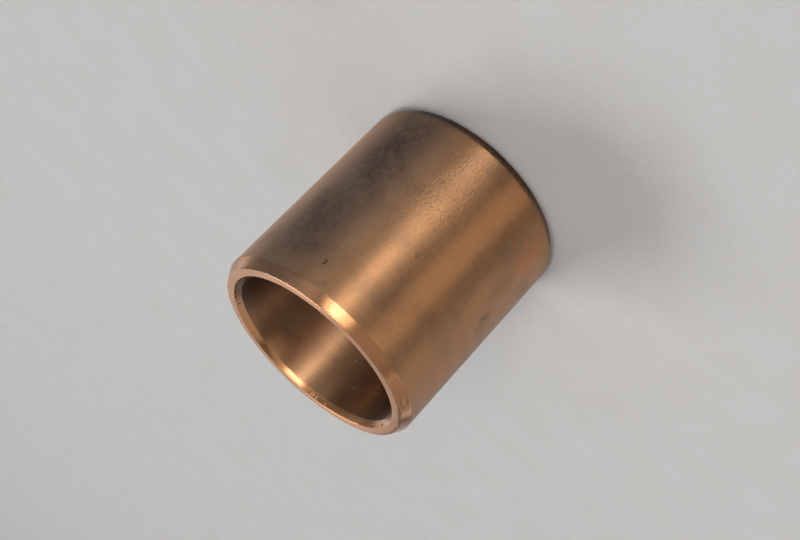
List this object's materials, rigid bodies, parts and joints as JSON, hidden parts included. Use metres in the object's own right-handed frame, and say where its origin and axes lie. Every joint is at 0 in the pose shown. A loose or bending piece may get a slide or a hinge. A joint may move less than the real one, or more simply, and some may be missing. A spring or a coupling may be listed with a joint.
{
  "type": "plain bronze sleeve bushing",
  "caption": "Plain cylindrical sleeve bushing turned from bronze, with a smooth through bore, long lead-in chamfers outside and small chamfers at the mouths of the bore.",
  "frame": {"origin": "centre of the lower end face, on the axis of the bore", "axes": "+Z along the bore, from the end it stands on to the other end; X and Y are free, because the part is round"},
  "size_m": [0.022, 0.022, 0.023],
  "materials": {
    "bronze": "turned and fine-ground tin bronze, satin, lightly tarnished in places"
  },
  "bodies": {
    "root": {"bushing": "bronze"}
  },
  "joints": []
}
